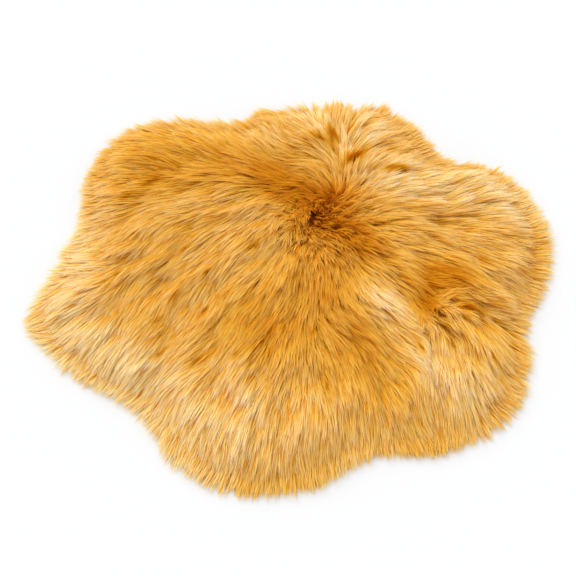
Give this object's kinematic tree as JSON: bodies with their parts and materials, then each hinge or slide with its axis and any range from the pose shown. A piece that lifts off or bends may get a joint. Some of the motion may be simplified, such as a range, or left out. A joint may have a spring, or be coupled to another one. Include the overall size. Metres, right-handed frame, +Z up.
{
  "type": "faux sheepskin rug",
  "caption": "Round rug of long-pile faux fur with a lobed outline, a lumpy pile combed outwards from a whorl, and loose locks around its rim.",
  "frame": {"origin": "middle of the rug's outline, on the floor", "axes": "+Z up out of the pile, +X towards the right of the picture along the rug's widest extent, +Y away from the viewer"},
  "size_m": [0.9182, 0.8492, 0.0579],
  "materials": {
    "fur": "long soft pile, mustard yellow with pale tips and darker roots"
  },
  "bodies": {
    "root": {"fur_rug": "fur"}
  },
  "joints": []
}
